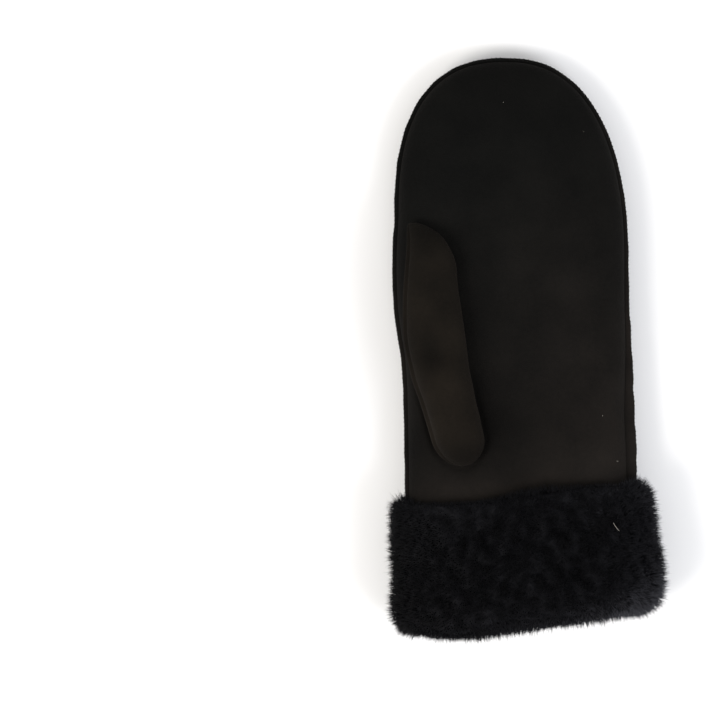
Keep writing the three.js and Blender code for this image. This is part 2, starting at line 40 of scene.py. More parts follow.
# The hand of the mitten, in metres: the sizes of the solid model
hand = {
    "length": 0.292,  # fingertip to the fur at the wrist
    "palmWidth": 0.119,  # over the outer seam
    "thickness": 0.040,  # palm to back
    "hide": 0.0024,
    "seamReach": 0.002,  # how far the outer seam stands out
    "seamLayer": 0.0012,  # one hide's thickness in that seam
    "gap": 0.0003,  # between sewn pieces
    "crossRoundness": 2.7,  # of the cross-section, across
    "domeRoundness": 2.1,  # of the cross-section, upwards
    "tipSpring": 0.72,  # where the palm starts to fall to the fingertip
    "tipRoundness": 2.3,
    "apexOffset": -0.067,  # the fingertip's middle, as a share of half the palm's width
    "spineEnd": 0.89,  # where the mesh lines of the fingertip meet
    "archStart": 0.5,  # share of the mesh lines below the fingertip's arch
    "unevenness": [(0.00025, 0.038, 11), (0.00004, 0.012, 12)],  # height, wavelength, seed
    "seamUnevenness": [(0.05, 0.012, 21)],  # share of the seam's reach, wavelength, seed
    "trimmedBelow": 0.006,  # where the seam is trimmed narrow, under the cuff's upper edge
}
# From the wrist's fold (0) to the fingertip (1): the two edges as shares of half the palm's width, the
# little finger side's seam as a share of its reach, and heights as shares of the thickness.
handTable = {
    "along": [0.0, 0.12, 0.227, 0.297, 0.361, 0.425, 0.468, 0.511, 0.554, 0.64, 0.717, 0.87, 1.0],
    "thumbEdge": [0.908, 0.918, 0.928, 0.933, 0.938, 0.948, 0.966, 0.998, 1.023, 1.034, 1.017, 1.017, 1.017],
    "littleEdge": [0.992, 1.004, 1.013, 1.017, 1.002, 0.992, 0.982, 0.971, 0.96, 0.953, 0.951, 0.951, 0.951],
    "rim": [1.3, 1.6, 2.4, 2.7, 2.6, 2.1, 1.7, 1.4, 1.25, 1.05, 1.0, 1.0, 1.0],
    "seam": [0.68, 0.64, 0.56, 0.51, 0.475, 0.46, 0.45, 0.445, 0.44, 0.43, 0.41, 0.35, 0.28],
    "palm": [0.38, 0.37, 0.39, 0.47, 0.505, 0.515, 0.515, 0.51, 0.505, 0.49, 0.475, 0.43, 0.39],
    "back": [0.38, 0.38, 0.37, 0.36, 0.36, 0.405, 0.46, 0.5, 0.53, 0.54, 0.52, 0.47, 0.42],
}
arches = {
    "thumb": {"sign": -1, "column": "thumbEdge", "spring": 0.717, "roundness": 2.5},
    "little": {"sign": 1, "column": "littleEdge", "spring": 0.635, "roundness": 2.3},
}

# The thumb, in metres
thumb = {
    "length": 0.1232,
    "width": 0.031,
    "height": 0.0185,
    "wall": 0.0022,
    "sink": 0.0065,  # how deep its base is set into the palm
    "lift": 0.0008,  # the free end over the palm
    "follow": 0.5,  # of the palm's fall under its sides
    "leanDeg": 9.1,
    "fromCentre": 0.0257,
    "fromCuff": 0.0127,
    "holeLength": 0.046,
    "holeMargin": 0.006,
    "baseRound": 0.115,
    "tipRound": 0.21,
    "tipSkew": 0.67,  # how far the rounded tip keeps to the outer side, of half its width
    "roundness": 2.3,
    "ribHeight": 0.0011,
    "ribHalfWidth": 0.0008,
    "ribTurnDeg": 168,  # where on the section the rib runs
    "ribGroove": (0.5, 2.2),  # depth of the line beside it, and how far off, as shares of its own sizes
    "ditchDepth": 0.0024,  # where its base is sewn in
    "ditchHalfWidth": 0.0015,
    "ditchEnd": 0.46,  # how far along the ditch runs, and over what length it fades
    "ditchFade": 0.24,
    "dentReach": 0.6,  # of a dent, across
    "evenSteps": 0.35,  # share of the mesh lines that aren't drawn to the ends
    "unevenness": [(0.00012, 0.016, 31), (0.0002, 0.032, 32)],  # height, wavelength, seed
}
thumbTable = {
    "along": [0.0, 0.12, 0.25, 0.39, 0.54, 0.66, 0.8, 0.92, 1.0],
    "side": [0.0, 0.008, 0.0215, 0.036, 0.038, 0.0285, 0.011, 0.0015, 0.012],
    "width": [0.79, 0.811, 0.841, 0.91, 0.955, 0.894, 0.809, 0.716, 0.635],
    "height": [0.9, 0.99, 1.0, 0.95, 0.88, 0.84, 0.76, 0.64, 0.54],
    "sink": [1.0, 1.0, 1.0, 0.85, 0.35, 0.05, 0.0, 0.0, 0.0],
}
thumbDents = [  # along, across, depth as a share of the height, reach along
    (0.455, -0.3, 0.11, 0.055),
    (0.63, -0.4, 0.05, 0.05),
    (0.30, 0.35, 0.03, 0.06),
]

# The fur cuff, in metres
cuff = {
    "height": 0.071,
    "facePile": 0.010,
    "thumbSidePile": 0.0094,
    "littleSidePile": 0.0126,
    "flare": 0.005,
    "widestLine": 0.2,
    "rimPile": 0.008,
    "innerPile": 0.0045,
    "innerReach": 0.046,
    "partingDepth": 0.0022,
    "partingWidth": 0.0035,
    "partingInset": 0.006,
    "nap": 0.0045,  # how much of the pile's depth is loose hair
}
cuffEdges = {  # from the thumb side (-1) to the little finger side (1), as shares of the cuff's height
    "across": [-1.0, -0.85, -0.5, 0.0, 0.45, 0.8, 1.0],
    "wrist": [0.125, 0.042, 0.004, 0.064, 0.13, 0.195, 0.235],
    "hand": [1.02, 1.005, 1.007, 1.063, 1.125, 1.12, 1.08],
}
furProfile = {  # upper edge to the fold: place between the two edges, and share of the pile's depth
    "step": list(range(14)),
    "line": [0.965, 0.995, 0.985, 0.94, 0.85, 0.73, 0.61, 0.49, 0.37, 0.25, 0.14, 0.06, 0.015, 0.0],
    "pile": [0.06, 0.3, 0.7, 0.93, 1.0, 1.0, 0.99, 0.99, 1.0, 1.0, 0.98, 0.86, 0.5, 0.05],
}


def smoothColumn(table, column, at, key="along"):
    # A smooth curve through a table's rows: cubic pieces whose slope at each row is that of the line
    # through its two neighbours.
    keys, values = np.array(table[key], float), np.array(table[column], float)
    rows = np.arange(len(keys))
    before, after = np.maximum(rows - 1, 0), np.minimum(rows + 1, len(keys) - 1)
    slopes = (values[after] - values[before]) / (keys[after] - keys[before])
    place = np.clip(at, keys[0], keys[-1])
    i = np.clip(np.searchsorted(keys, place, side="right") - 1, 0, len(keys) - 2)
    step = keys[i + 1] - keys[i]
    f = (place - keys[i]) / step
    ends = values[i] * (1 + 2 * f) * (1 - f) ** 2 + values[i + 1] * f * f * (3 - 2 * f)
    return ends + slopes[i] * step * f * (1 - f) ** 2 + slopes[i + 1] * step * f * f * (f - 1)


def cuffEdgeY(edge, x):
    # Height along the hand of the fur's wrist or hand edge.
    return wristY + cuff["height"] * smoothColumn(cuffEdges, edge, x / halfCuff, "across")


def handValue(column, y):
    return smoothColumn(handTable, column, (y - foldY) / handLength)


# Places that follow from the sizes
halfPalm = hand["palmWidth"] / 2
seamHalf = hand["gap"] / 2 + hand["seamLayer"]
slotGap = 2 * hand["gap"]  # between the hide and the cuff
tipY, wristY = hand["length"] / 2, -hand["length"] / 2
hideTipY = tipY - hand["seamReach"]
thumbReach = halfPalm * handTable["thumbEdge"][0] - hand["seamReach"] + slotGap + cuff["thumbSidePile"]
littleHide = halfPalm * handTable["littleEdge"][0] - hand["seamReach"] * handTable["rim"][0]
littleReach = littleHide + slotGap + cuff["littleSidePile"] + cuff["flare"] * (1 - cuff["widestLine"])
centreX = (thumbReach - littleReach) / 2
halfCuff = (thumbReach + littleReach) / 2
foldY = cuffEdgeY("wrist", 0) + cuff["rimPile"]
handLength = tipY - foldY
cuffTopY = cuffEdgeY("hand", 0)
apexX = centreX + hand["apexOffset"] * halfPalm
lean = np.radians(thumb["leanDeg"])
thumbBase = np.array([centreX - thumb["fromCentre"], cuffTopY + thumb["fromCuff"]])
thumbAlong = np.array([-np.sin(lean), np.cos(lean)])
thumbAcross = np.array([np.cos(lean), np.sin(lean)])


def bell(away, reach=1.0):
    # 1 at the middle of a round bell, and a third of that at its reach.
    return np.exp(-((away / reach) ** 2))


def signedPower(value, power):
    return np.sign(value) * np.abs(value) ** power


def unit(ways):
    # Directions brought to length 1.
    return ways / np.linalg.norm(ways, axis=-1, keepdims=True)


def fullTurn(count):
    return np.linspace(0, 2 * np.pi, count, endpoint=False)


def softField(points, wavelength, seed, waves=9):
    # A smooth random value near -1 to 1 at each point: plane waves of about one wavelength, in random
    # directions, added up.
    chance = np.random.default_rng(seed)
    points = np.asarray(points, float)
    ways = chance.normal(size=(waves, points.shape[-1]))
    ways *= 2 * np.pi / wavelength / np.linalg.norm(ways, axis=1, keepdims=True)
    ways *= chance.uniform(0.7, 1.4, (waves, 1))
    phases = chance.uniform(0, 2 * np.pi, waves)
    return np.sin(points @ ways.T + phases).sum(-1) / np.sqrt(waves)


def unevenness(points, waves):
    # Several smooth random fields, each times its height.
    return sum(height * softField(points, wavelength, seed) for height, wavelength, seed in waves)


def rimWidth(arch, y):
    # How far the outer seam stands out of a side.
    return hand["seamReach"] * (handValue("rim", y) if arch["sign"] > 0 else 1.0)


def sideX(arch, y, inset):
    # The hide's side: straight from the table up to the spring, then a quarter of a rounded arch.
    springY = foldY + arch["spring"] * handLength
    straightY = np.minimum(y, springY)
    out = halfPalm * handValue(arch["column"], straightY) - rimWidth(arch, straightY) - inset
    straightX = centreX + arch["sign"] * out
    rise = np.clip((y - springY) / (hideTipY - inset - springY), 0, 1)
    n = arch["roundness"]
    return np.where(y <= springY, straightX, apexX + (straightX - apexX) * (1 - rise**n) ** (1 / n))


def handSection(y, inset=0.0):
    # The hand's cross-section: its middle and half width, the seam's height, palm's rise, back's drop.
    left, right = sideX(arches["thumb"], y, inset), sideX(arches["little"], y, inset)
    springY = foldY + hand["tipSpring"] * handLength
    rise = np.clip((y - springY) / (hideTipY - inset - springY), 0, 1)
    fall = (1 - rise ** hand["tipRoundness"]) ** (1 / hand["domeRoundness"])
    middle, half = (left + right) / 2, (right - left) / 2
    seam, palm, back = (hand["thickness"] * handValue(c, y) for c in ("seam", "palm", "back"))
    return middle, half, seam, palm * fall, back * fall


def domeShare(x, middle, half):
    # 0 at the seam and 1 in the middle: a rounded arch across the section.
    across = np.clip(np.abs(x - middle) / np.maximum(half, 1e-6), 0, 1)
    return (1 - across ** hand["crossRoundness"]) ** (1 / hand["domeRoundness"])


# Where worn suede has sunk or swelled a little: x, y, depth and reach, as shares of half the palm's
# width, the hand's length, the thickness and half the palm's width
palmDents = [
    (0.05, 0.42, -0.022, 0.34),
    (0.42, 0.36, 0.012, 0.26),
    (-0.12, 0.62, 0.014, 0.36),
    (0.38, 0.68, -0.018, 0.30),
    (-0.45, 0.86, -0.012, 0.26),
    (0.10, 0.88, 0.010, 0.26),
    (-0.30, 0.30, 0.012, 0.20),
]


def thumbDitch(x, y):
    # The sewn ditch round the thumb's base: a narrow round valley along the outline of its lower half,
    # which is an ellipse's end and two straight sides.
    away = np.stack([x, y], -1) - thumbBase
    along = away @ thumbAlong / thumb["length"]
    across = away @ thumbAcross + smoothColumn(thumbTable, "side", along) * thumb["length"]
    half = thumb["width"] / 2 * smoothColumn(thumbTable, "width", along)
    short = np.maximum(thumb["baseRound"] - along, 0) / thumb["baseRound"]
    beyond = (np.sqrt((across / half) ** 2 + short**2) - 1) * half
    deep = np.clip((thumb["ditchEnd"] - along) / thumb["ditchFade"], 0, 1)
    return -thumb["ditchDepth"] * deep * bell(beyond, thumb["ditchHalfWidth"])


def palmRelief(x, y, dome):
    # Broad dents of the table, each a round bell, and a fine unevenness, all fading at the seam.
    relief = unevenness(np.stack([x, y], -1), hand["unevenness"])
    for across, along, depth, reach in palmDents:
        far = np.hypot(x - centreX - across * halfPalm, y - foldY - along * handLength)
        relief += depth * hand["thickness"] * bell(far, reach * halfPalm)
    return relief * np.clip(dome * 1.6 - 0.35, 0, 1) + thumbDitch(x, y)


def faceRise(rise, inset):
    # A hide's face over the seam: its level there and its full rise, for the lining if inset.
    if inset:
        return hand["gap"] / 2, np.maximum(rise + hand["seamLayer"] - hand["hide"], 0)
    return seamHalf, rise


def palmFace(x, y, inset=0.0):
    # Outer face of the palm, or its lining if inset by the hide's thickness.
    middle, half, seam, palm, _ = handSection(y, inset)
    dome = domeShare(x, middle, half)
    level, rise = faceRise(palm, inset)
    return seam + level + rise * dome + palmRelief(x, y, dome)


def backFace(x, y, inset=0.0):
    # Outer face or lining of the back, flat where the mitten lies on it.
    middle, half, seam, _, back = handSection(y, inset)
    level, drop = faceRise(back, inset)
    return np.maximum(seam - level - drop * domeShare(x, middle, half), inset)


def slantedY(x, y):
    # Inside the cuff the mesh lines follow its slanting edges, and straighten out above it.
    inCuff = (y - foldY) / (cuffTopY - foldY)
    fold, edge = cuffEdgeY("wrist", x) + cuff["rimPile"], cuffEdgeY("hand", x)
    faded = np.clip((y - cuffTopY) / 0.06, 0, 1)
    return np.where(inCuff <= 1, fold + (edge - fold) * inCuff, y + (edge - cuffTopY) * (1 - faded))


def stationGrid(stations, columns, inset):
    # Lines over the hand from the thumb-side seam to the other seam: straight across below the
    # fingertip's arch, and fanned out from a short spine in it.
    station = np.linspace(0, 1, stations)
    straight = np.clip(station / hand["archStart"], 0, 1)
    turn = np.clip((station - hand["archStart"]) / (1 - hand["archStart"]), 0, 1) * np.pi / 2
    springs = {name: foldY + arch["spring"] * handLength for name, arch in arches.items()}
    ends = {}
    for name, arch in arches.items():
        top = hideTipY - inset - springs[name]
        curved = springs[name] + top * np.sin(turn) ** (2 / arch["roundness"])
        y = np.where(turn > 0, curved, foldY + (springs[name] - foldY) * straight)
        ends[name] = np.stack([sideX(arch, y, inset), y], -1)
    low = sum(springs.values()) / 2
    spineTop = low + (foldY + hand["spineEnd"] * handLength - low) * np.sin(turn)
    spineY = np.where(turn > 0, spineTop, foldY + (low - foldY) * straight)
    spine = np.stack([handSection(spineY, inset)[0], spineY], -1)
    across = np.linspace(-1, 1, columns)
    share = ((1 - np.abs(across)) ** 1.55)[None, :, None]
    side = np.where((across < 0)[None, :, None], ends["thumb"][:, None], ends["little"][:, None])
    flat = side + (spine[:, None] - side) * share
    y = slantedY(flat[..., 0], flat[..., 1])
    edge = np.where(across < 0, sideX(arches["thumb"], y, inset), sideX(arches["little"], y, inset))
    x = np.where(turn[:, None] > 0, flat[..., 0], edge + (spine[:, None, 0] - edge) * share[..., 0])
    return x, y


def newObject(name, data):
    made = bpy.data.objects.new(name, data)
    bpy.context.collection.objects.link(made)
    return made


def meshPiece(name, points, faceSets, material):
    # A mesh from arrays: points, and arrays of faces with 3 or 4 corners each.
    mesh = bpy.data.meshes.new(name)
    points = np.ascontiguousarray(points, np.float32).reshape(-1, 3)
    corners = np.concatenate([np.asarray(f, np.int32).ravel() for f in faceSets])
    sizes = np.concatenate([np.full(len(f), np.asarray(f).shape[1], np.int32) for f in faceSets])
    mesh.vertices.add(len(points))
    mesh.vertices.foreach_set("co", points.ravel())
    mesh.loops.add(len(corners))
    mesh.loops.foreach_set("vertex_index", corners)
    mesh.polygons.add(len(sizes))
    mesh.polygons.foreach_set("loop_start", np.concatenate([[0], np.cumsum(sizes)[:-1]]).astype(np.int32))
    mesh.polygons.foreach_set("use_smooth", np.full(len(sizes), True))
    mesh.update(calc_edges=True)
    mesh.validate()
    mesh.materials.append(material)
    return newObject(name, mesh)


def gridFaces(rows, columns, loopRows=False, loopColumns=False, start=0):
    # The four-cornered faces of a grid of points, joined at its ends where it loops.
    i = np.arange(rows if loopRows else rows - 1)[:, None]
    j = np.arange(columns if loopColumns else columns - 1)[None, :]
    nextI, nextJ = (i + 1) % rows, (j + 1) % columns
    corners = [i * columns + j, i * columns + nextJ, nextI * columns + nextJ, nextI * columns + j]
    return start + np.stack(np.broadcast_arrays(*corners), -1).reshape(-1, 4)


def slabFaces(rows, columns):
    # The faces of a closed slab: a grid, a second grid under it, and walls between their edges.
    number = np.arange(rows * columns).reshape(rows, columns)
    ring = np.concatenate([number[0, :-1], number[:-1, -1], number[-1, :0:-1], number[:0:-1, 0]])
    after, low = np.roll(ring, -1), rows * columns
    walls = np.stack([ring, after, after + low, ring + low], -1)
    return [gridFaces(rows, columns), gridFaces(rows, columns, start=low), walls]


def closePiece(piece, weld=2e-6):
    # Welds points that lie together, drops faces with no area, and turns every face outwards.
    shape = bmesh.new()
    shape.from_mesh(piece.data)
    bmesh.ops.remove_doubles(shape, verts=shape.verts, dist=weld)
    bmesh.ops.dissolve_degenerate(shape, edges=shape.edges, dist=weld / 2)
    bmesh.ops.recalc_face_normals(shape, faces=shape.faces)
    openEdges = sum(1 for e in shape.edges if len(e.link_faces) != 2)
    shape.to_mesh(piece.data)
    shape.free()
    print(f"  {piece.name}: {len(piece.data.polygons)} faces, {openEdges} open edges")
    return piece


def writeTone(piece, name, values):
    # Writes one number per point, for the materials to read.
    tones = piece.data.attributes.new(name, "FLOAT", "POINT")
    tones.data.foreach_set("value", np.ascontiguousarray(values, np.float32).ravel())
    return piece


def settle(piece, slotName, *nodes):
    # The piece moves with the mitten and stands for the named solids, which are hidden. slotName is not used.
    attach(piece, "root")
    if nodes:
        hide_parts(*nodes)
    return piece


def linear(hexColour):
    # An sRGB hex colour as linear red, green, blue and alpha.
    parts = [int(hexColour[i : i + 2], 16) / 255 for i in (1, 3, 5)]
    return [c / 12.92 if c <= 0.04045 else ((c + 0.055) / 1.055) ** 2.4 for c in parts] + [1.0]


def feed(tree, node, inputs):
    # Gives a node its inputs: values, sockets, or nodes, of which the first output is meant.
    for name, value in inputs.items():
        if isinstance(value, bpy.types.Node):
            value = value.outputs[0]
        if isinstance(value, bpy.types.NodeSocket):
            tree.links.new(value, node.inputs[name])
        else:
            node.inputs[name].default_value = value


def addNode(tree, kind, inputs, ramp=(), **settings):
    # Adds one node with its inputs and settings, and for a colour ramp its evenly spaced colours.
    node = tree.nodes.new("ShaderNode" + kind)
    for name, value in settings.items():
        setattr(node, name, value)
    if ramp:
        stops = node.color_ramp.elements
        stops[0].color, stops[1].color = linear(ramp[0]), linear(ramp[-1])
        for number, colour in enumerate(ramp[1:-1], 1):
            stops.new(number / (len(ramp) - 1)).color = linear(colour)
    feed(tree, node, inputs)
    return node


def newMaterial(name):
    # A material with its node tree, its shader and each point's place on the piece.
    material = bpy.data.materials.new(name)
    material.use_nodes = True
    tree = material.node_tree
    place = addNode(tree, "TexCoord", {}).outputs["Object"]
    return material, tree, tree.nodes["Principled BSDF"], place


suedeLook = {
    "low": "#0f0f0e",
    "high": "#1a1917",
    "warm": "#fff0ec",  # tint by the wrist: browner, and lighter as painted light
    "cool": "#c3c8ca",  # tint at the fingertips: greyer, and darker as painted shade
    "thumbWarm": "#ffe8d4",  # the thumb is cut from a browner part of the hide; the same slope of painted light and shade runs over it
    "thumbCool": "#d0c6ba",
    "fleck": "#5a5148",
    "gloss": 0.06,
    "sheen": 0.04,
}


def brushedSuede(name, warm, cool):
    # Sheepskin dyed black, its flesh side sanded to a short nap: matte and brownish, with painted light and
    # shade from a point attribute and from a slope along the hand, and a rare pale fibre that the dye has
    # missed.
    material, tree, shader, place = newMaterial(name)
    # Brush marks about 25 mm across, clumps of nap about 2 mm across, and single fibres, drawn at
    # 0.5 mm, coarser than real, so that they show.
    patches, mottle, fibres = (
        addNode(tree, "TexNoise", {"Vector": place, "Scale": scale, "Detail": detail, "Roughness": rough})
        for scale, detail, rough in ((38.0, 2.0, 0.45), (430.0, 3.0, 0.6), (1900.0, 3.0, 0.7))
    )
    clumps = addNode(tree, "Math", {0: mottle, 1: 0.35, 2: patches}, operation="MULTIPLY_ADD")
    grain = addNode(tree, "Math", {0: fibres, 1: 0.25, 2: clumps}, operation="MULTIPLY_ADD")
    share = addNode(  # the three patterns' sum, as a share of its span
        tree, "MapRange", {"Value": grain, "From Min": 0.5, "From Max": 1.1}
    )
    tone = addNode(tree, "ValToRGB", {"Fac": share}, (suedeLook["low"], suedeLook["high"]))
    cells = addNode(tree, "TexVoronoi", {"Vector": place, "Scale": 75.0})  # one to each 13 mm
    near = addNode(tree, "Math", {0: cells, 1: 0.016}, operation="LESS_THAN")
    chosen = addNode(tree, "SeparateColor", {"Color": cells.outputs["Color"]})
    rare = addNode(tree, "Math", {0: chosen, 1: 0.93}, operation="GREATER_THAN")
    fleck = addNode(tree, "Math", {0: near, 1: rare}, operation="MULTIPLY")
    pale = addNode(tree, "MixRGB", {"Fac": fleck, "Color1": tone, "Color2": linear(suedeLook["fleck"])})
    height = addNode(tree, "Math", {0: mottle, 1: 1.4, 2: fibres}, operation="MULTIPLY_ADD")
    bump = addNode(tree, "Bump", {"Height": height, "Strength": 0.5, "Distance": 0.00035})
    split = addNode(tree, "SeparateXYZ", {"Vector": place})
    upHand = addNode(  # from the thumb's base to the fingertips, darker towards them as painted shade
        tree, "MapRange", {"Value": split.outputs["Y"], "From Min": -0.09, "From Max": 0.13}
    )
    tintAndShadeSlope = addNode(  # and lighter towards the little finger side, as painted light
        tree, "Math", {0: split.outputs["X"], 1: -2.5, 2: upHand}, operation="MULTIPLY_ADD"
    )
    # painted light and shade, written on the points as round bells
    nap = addNode(tree, "Attribute", {}, attribute_name="paintedLightAndShade").outputs["Fac"]
    tintAndShadeShare = addNode(  # browner and lighter where the attribute paints light
        tree, "Math", {0: nap, 1: -0.8, 2: tintAndShadeSlope}, operation="MULTIPLY_ADD"
    )
    # The tint ramp: browner and lighter by the wrist, greyer and darker at the fingertips; its lightness is
    # painted light and shade
    tint = addNode(tree, "ValToRGB", {"Fac": tintAndShadeShare}, (suedeLook[warm], suedeLook[cool]))
    dyed = addNode(tree, "MixRGB", {"Fac": 1.0, "Color1": pale, "Color2": tint}, blend_type="MULTIPLY")
    # the colour scaled up and down by the painted light and shade
    lightAndShadeFactor = addNode(tree, "Math", {0: nap, 1: 1.0}, operation="ADD")
    toned = addNode(tree, "MixRGB", {"Fac": 1.0, "Color1": dyed, "Color2": lightAndShadeFactor}, blend_type="MULTIPLY")
    feed(tree, shader, {"Base Color": toned, "Normal": bump, "Roughness": 0.95, "Sheen Roughness": 0.5})
    feed(tree, shader, {"Specular IOR Level": suedeLook["gloss"], "Sheen Weight": suedeLook["sheen"]})
    feed(tree, shader, {"Sheen Tint": linear("#8a7d74")})
    return material


furLook = {"root": "#0c0c0d", "shaft": "#19191c", "tip": "#3a3a3e", "gloss": 0.08, "sheen": 0.03}


def dyedFur():
    # Shorn sheep's wool dyed blue-black: dense fine hair, darker at the roots as painted shade deep in the
    # pile, with paler tips that take painted light at the cuff's borders and on its little finger side.
    material, tree, shader, place = newMaterial("Shorn dyed wool")
    along = addNode(tree, "Attribute", {}, attribute_name="tipShare").outputs["Fac"]
    locks = addNode(  # from one lock to the next, about 7 mm
        tree, "TexNoise", {"Vector": place, "Scale": 140.0, "Detail": 2.0, "Roughness": 0.5}
    )
    light = addNode(tree, "Math", {0: locks, 1: 0.16, 2: -0.08}, operation="MULTIPLY_ADD")
    share = addNode(tree, "Math", {0: along, 1: light}, operation="ADD")
    # A ramp from dark roots, painted shade, to pale tips, which carry the painted light
    tone = addNode(tree, "ValToRGB", {"Fac": share}, (furLook["root"], furLook["shaft"], furLook["tip"]))
    feed(tree, shader, {"Base Color": tone, "Roughness": 0.65, "Sheen Roughness": 0.4})
    feed(tree, shader, {"Specular IOR Level": furLook["gloss"], "Sheen Weight": furLook["sheen"]})
    feed(tree, shader, {"Sheen Tint": linear("#8c8d9e")})
    return material


def waxedThread():
    # Twisted polyester thread, waxed: black, a little shinier than the suede it lies on.
    material, tree, shader, place = newMaterial("Waxed black thread")
    twist = addNode(tree, "TexNoise", {"Vector": place, "Scale": 2200.0, "Detail": 2.0})
    bump = addNode(tree, "Bump", {"Height": twist, "Strength": 0.4, "Distance": 0.0001})
    feed(tree, shader, {"Normal": bump, "Base Color": linear("#161412"), "Roughness": 0.65})
    feed(tree, shader, {"Specular IOR Level": 0.25})
    return material


def smoothHide():
    # Grain-side leather of the patch: pressed smooth and lightly creased, with a low dull gloss.
    material, tree, shader, place = newMaterial("Pressed black leather")
    pores = addNode(  # hide grain about 0.7 mm across
        tree, "TexVoronoi", {"Vector": place, "Scale": 1400.0, "Smoothness": 0.6}, feature="SMOOTH_F1"
    )
    tones = addNode(tree, "TexNoise", {"Vector": place, "Scale": 260.0, "Detail": 3.0})
    tone = addNode(tree, "ValToRGB", {"Fac": tones}, ("#0b0a09", "#151311"))
    bump = addNode(tree, "Bump", {"Height": pores, "Strength": 0.5, "Distance": 0.0002})
    feed(tree, shader, {"Base Color": tone, "Normal": bump, "Roughness": 0.62, "Specular IOR Level": 0.05})
    return material


def undyedHair():
    # A loose sheep's hair that took no dye: off-white and slightly glossy.
    material, tree, shader, place = newMaterial("Undyed wool hair")
    tones = addNode(tree, "TexNoise", {"Vector": place, "Scale": 900.0, "Detail": 1.0})
    tone = addNode(tree, "ValToRGB", {"Fac": tones}, ("#8d877d", "#b9b3a9"))
    feed(tree, shader, {"Base Color": tone, "Roughness": 0.5})
    return material


suede = brushedSuede("Brushed black suede", "warm", "cool")
thumbSuede = brushedSuede("Brushed brown-black suede", "thumbWarm", "thumbCool")
fur, thread, leather, paleHair = dyedFur(), waxedThread(), smoothHide(), undyedHair()
print("materials made")

panels = {"stations": 190, "columns": 87}
rimProfile = [(0.35, 1.0), (0.72, 0.98), (0.93, 0.8), (1.0, 0.5), (0.97, 0.12)]  # out, up


def seamEdges(stations, inset):
    # The two seam lines with their outward directions: lists of end points, and unit normals.
    x, y = stationGrid(stations, 3, inset)
    lines = {"thumb": np.stack([x[:, 0], y[:, 0]], -1), "little": np.stack([x[:, 2], y[:, 2]], -1)}
    normals = {}
    for name, line in lines.items():
        along = unit(np.gradient(line, axis=0))
        normals[name] = np.stack([along[:, 1], -along[:, 0]], -1) * arches[name]["sign"]
        normals[name][-1] = (0, 1)  # both sides meet at the fingertip
    return lines, normals


def seamWidth(name, line):
    # The rim's full width above the cuff, trimmed narrow inside it, and a little uneven.
    x, y = line[:, 0], line[:, 1]
    above = np.clip((y - cuffEdgeY("hand", x) + hand["trimmedBelow"]) / (2 * hand["seamReach"]), 0, 1)
    uneven = 1 + unevenness(line, hand["seamUnevenness"])
    return hand["gap"] + (rimWidth(arches[name], y) * uneven - hand["gap"]) * above


def panelPiece(name, side, face):
    # One hide of the hand. Each mesh line is a closed loop: over the outer face, round one rim of the
    # seam, back along the lining and round the other rim. side is 1 for the palm, -1 for the back.
    n, m = panels["stations"], panels["columns"]
    loops = []
    for inset, level in ((0.0, seamHalf), (hand["hide"], hand["gap"] / 2)):
        x, y = stationGrid(n, m, inset)
        z = face(x, y, inset)
        z[:, [0, -1]] = (hand["thickness"] * handValue("seam", y) + side * level)[:, [0, -1]]
        loops.append(np.stack([x, y, z], -1))
    lines, normals = seamEdges(n, 0.0)
    rims = {}
    for key in arches:
        line, width = lines[key], seamWidth(key, lines[key])
        points = []
        for out, up in rimProfile:
            flat = line + normals[key] * (width * out)[:, None]
            level = hand["gap"] / 2 + up * hand["seamLayer"]
            z = hand["thickness"] * handValue("seam", line[:, 1]) + side * level
            points.append(np.stack([flat[:, 0], flat[:, 1], z], -1))
        rims[key] = np.stack(points, 1)
    grid = np.concatenate([loops[0], rims["little"], loops[1][:, ::-1], rims["thumb"][:, ::-1]], 1)
    columns, r = grid.shape[1], len(rimProfile)
    faces = gridFaces(n, columns, loopColumns=True)
    k = np.arange(m - 1)
    inner = 2 * m + r - 1 - k
    mouth = np.stack([k, k + 1, inner - 1, inner], -1)
    ends = [m - 1, *range(m, m + r), m + r], [2 * m + r - 1, *range(2 * m + r, columns), 0]
    fans = [np.array([[e[0], *pair] for pair in zip(e[1:-1], e[2:])]) for e in ends]
    piece = meshPiece(name, grid, [faces, mouth, *fans], suede)
    return closePiece(piece)


def thumbPlan(along, across):
    # A place over the thumb, seen from above: along its leaning line, bowed out by the table.
    bow = across - smoothColumn(thumbTable, "side", along) * thumb["length"]
    return thumbBase + along[..., None] * thumb["length"] * thumbAlong + bow[..., None] * thumbAcross


def endRound(fromEnd, roundShare):
    return np.sqrt(1 - (1 - np.clip(fromEnd / roundShare, 0, 1)) ** 2)


